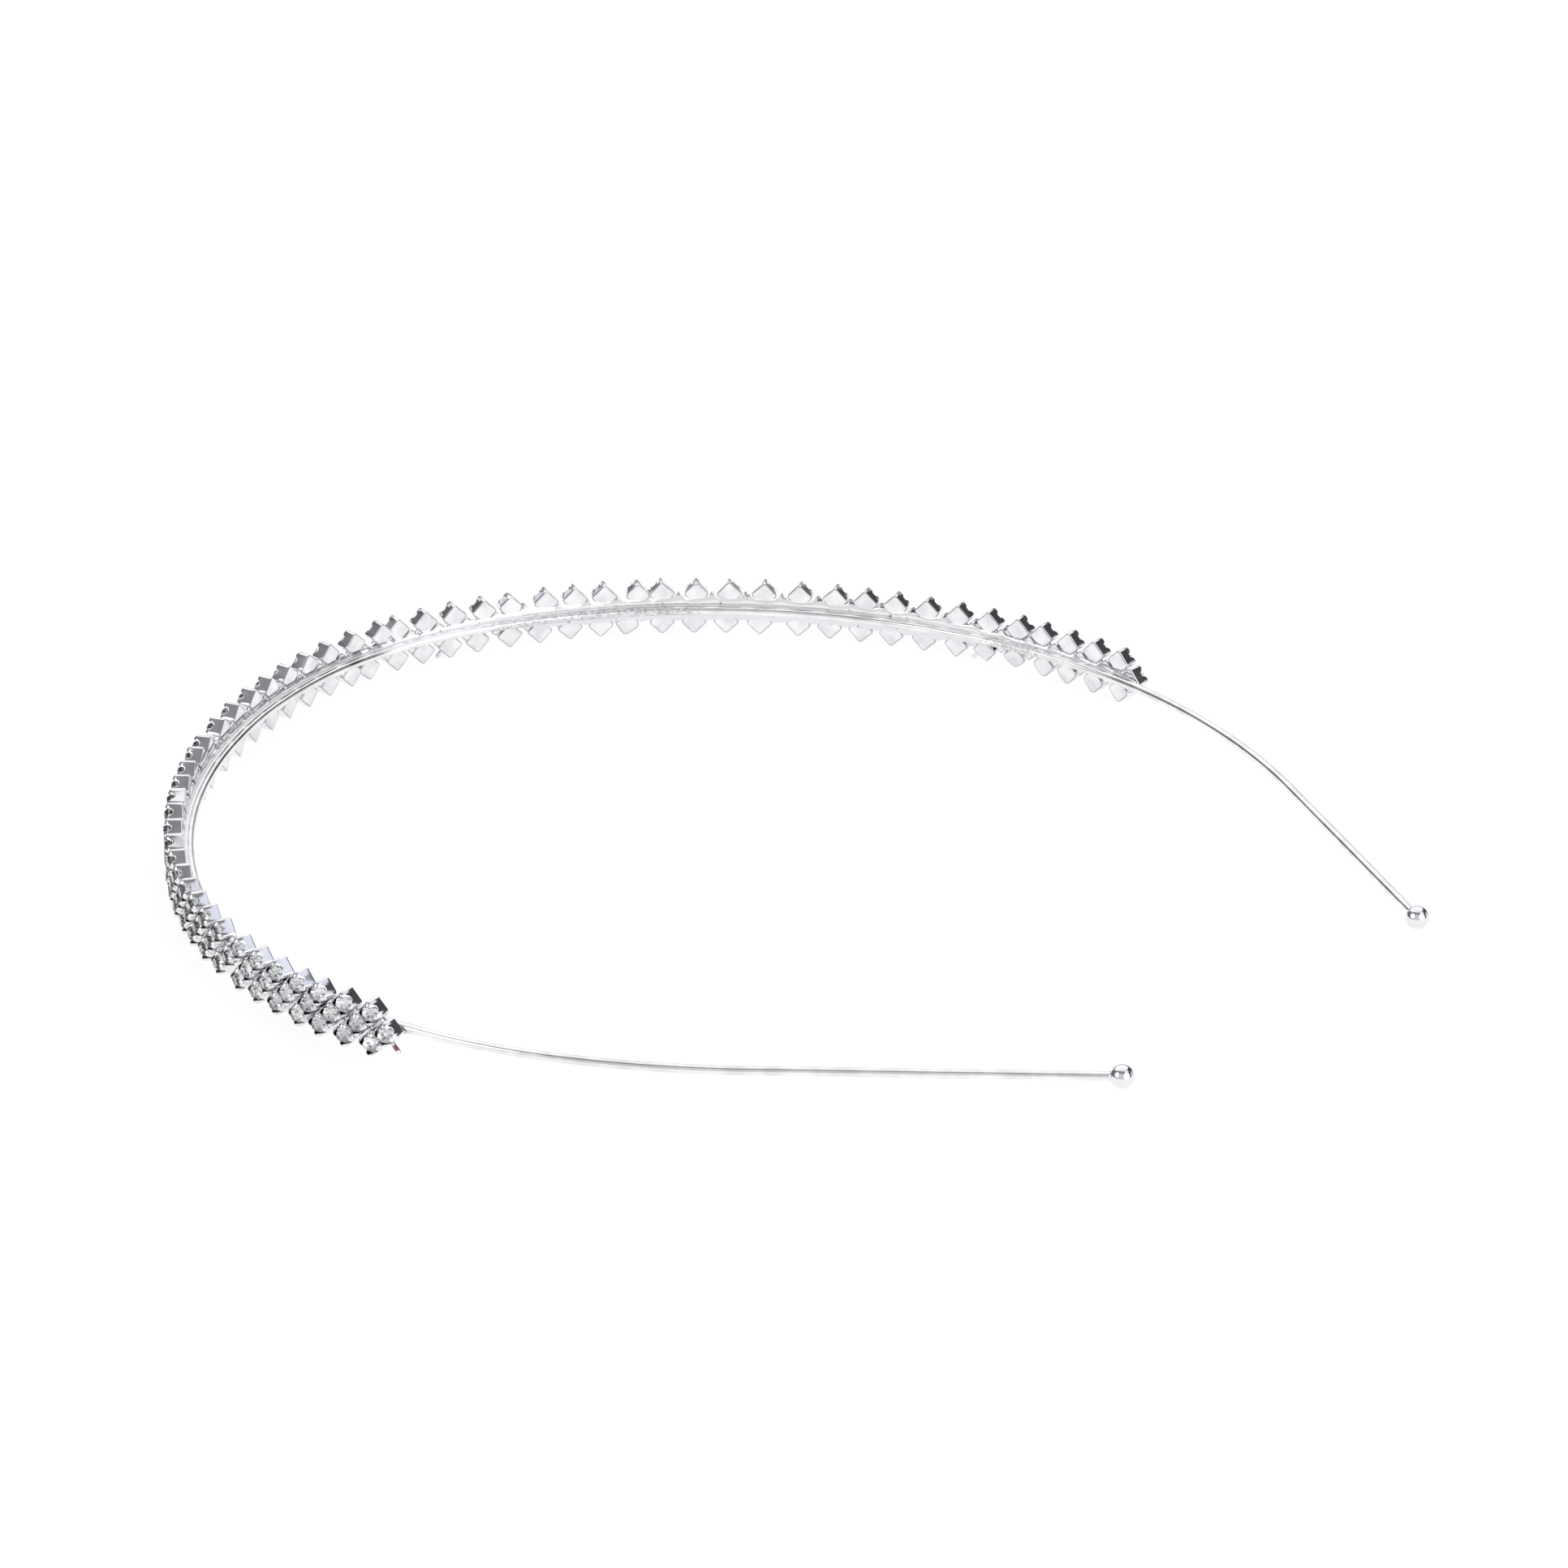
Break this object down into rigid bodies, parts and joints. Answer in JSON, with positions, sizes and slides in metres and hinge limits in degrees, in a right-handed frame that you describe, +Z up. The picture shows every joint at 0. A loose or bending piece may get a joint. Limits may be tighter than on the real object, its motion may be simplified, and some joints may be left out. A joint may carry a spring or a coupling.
{
  "type": "crystal headband",
  "caption": "Thin round wire headband with ball tips and a three-row staggered strip of small round stones in square prong cups along its outside.",
  "frame": {"origin": "middle of the band's outline, on the surface that it lies on", "axes": "+X from the crown towards the open end, +Y towards the left arm, +Z up from the surface"},
  "size_m": [0.1518, 0.1352, 0.0073],
  "materials": {
    "silver_plate": "polished",
    "foiled_crystal": "faceted"
  },
  "bodies": {
    "root": {"band": "silver_plate", "stones": "foiled_crystal", "ball_tip_left": "silver_plate", "ball_tip_right": "silver_plate"}
  },
  "joints": []
}
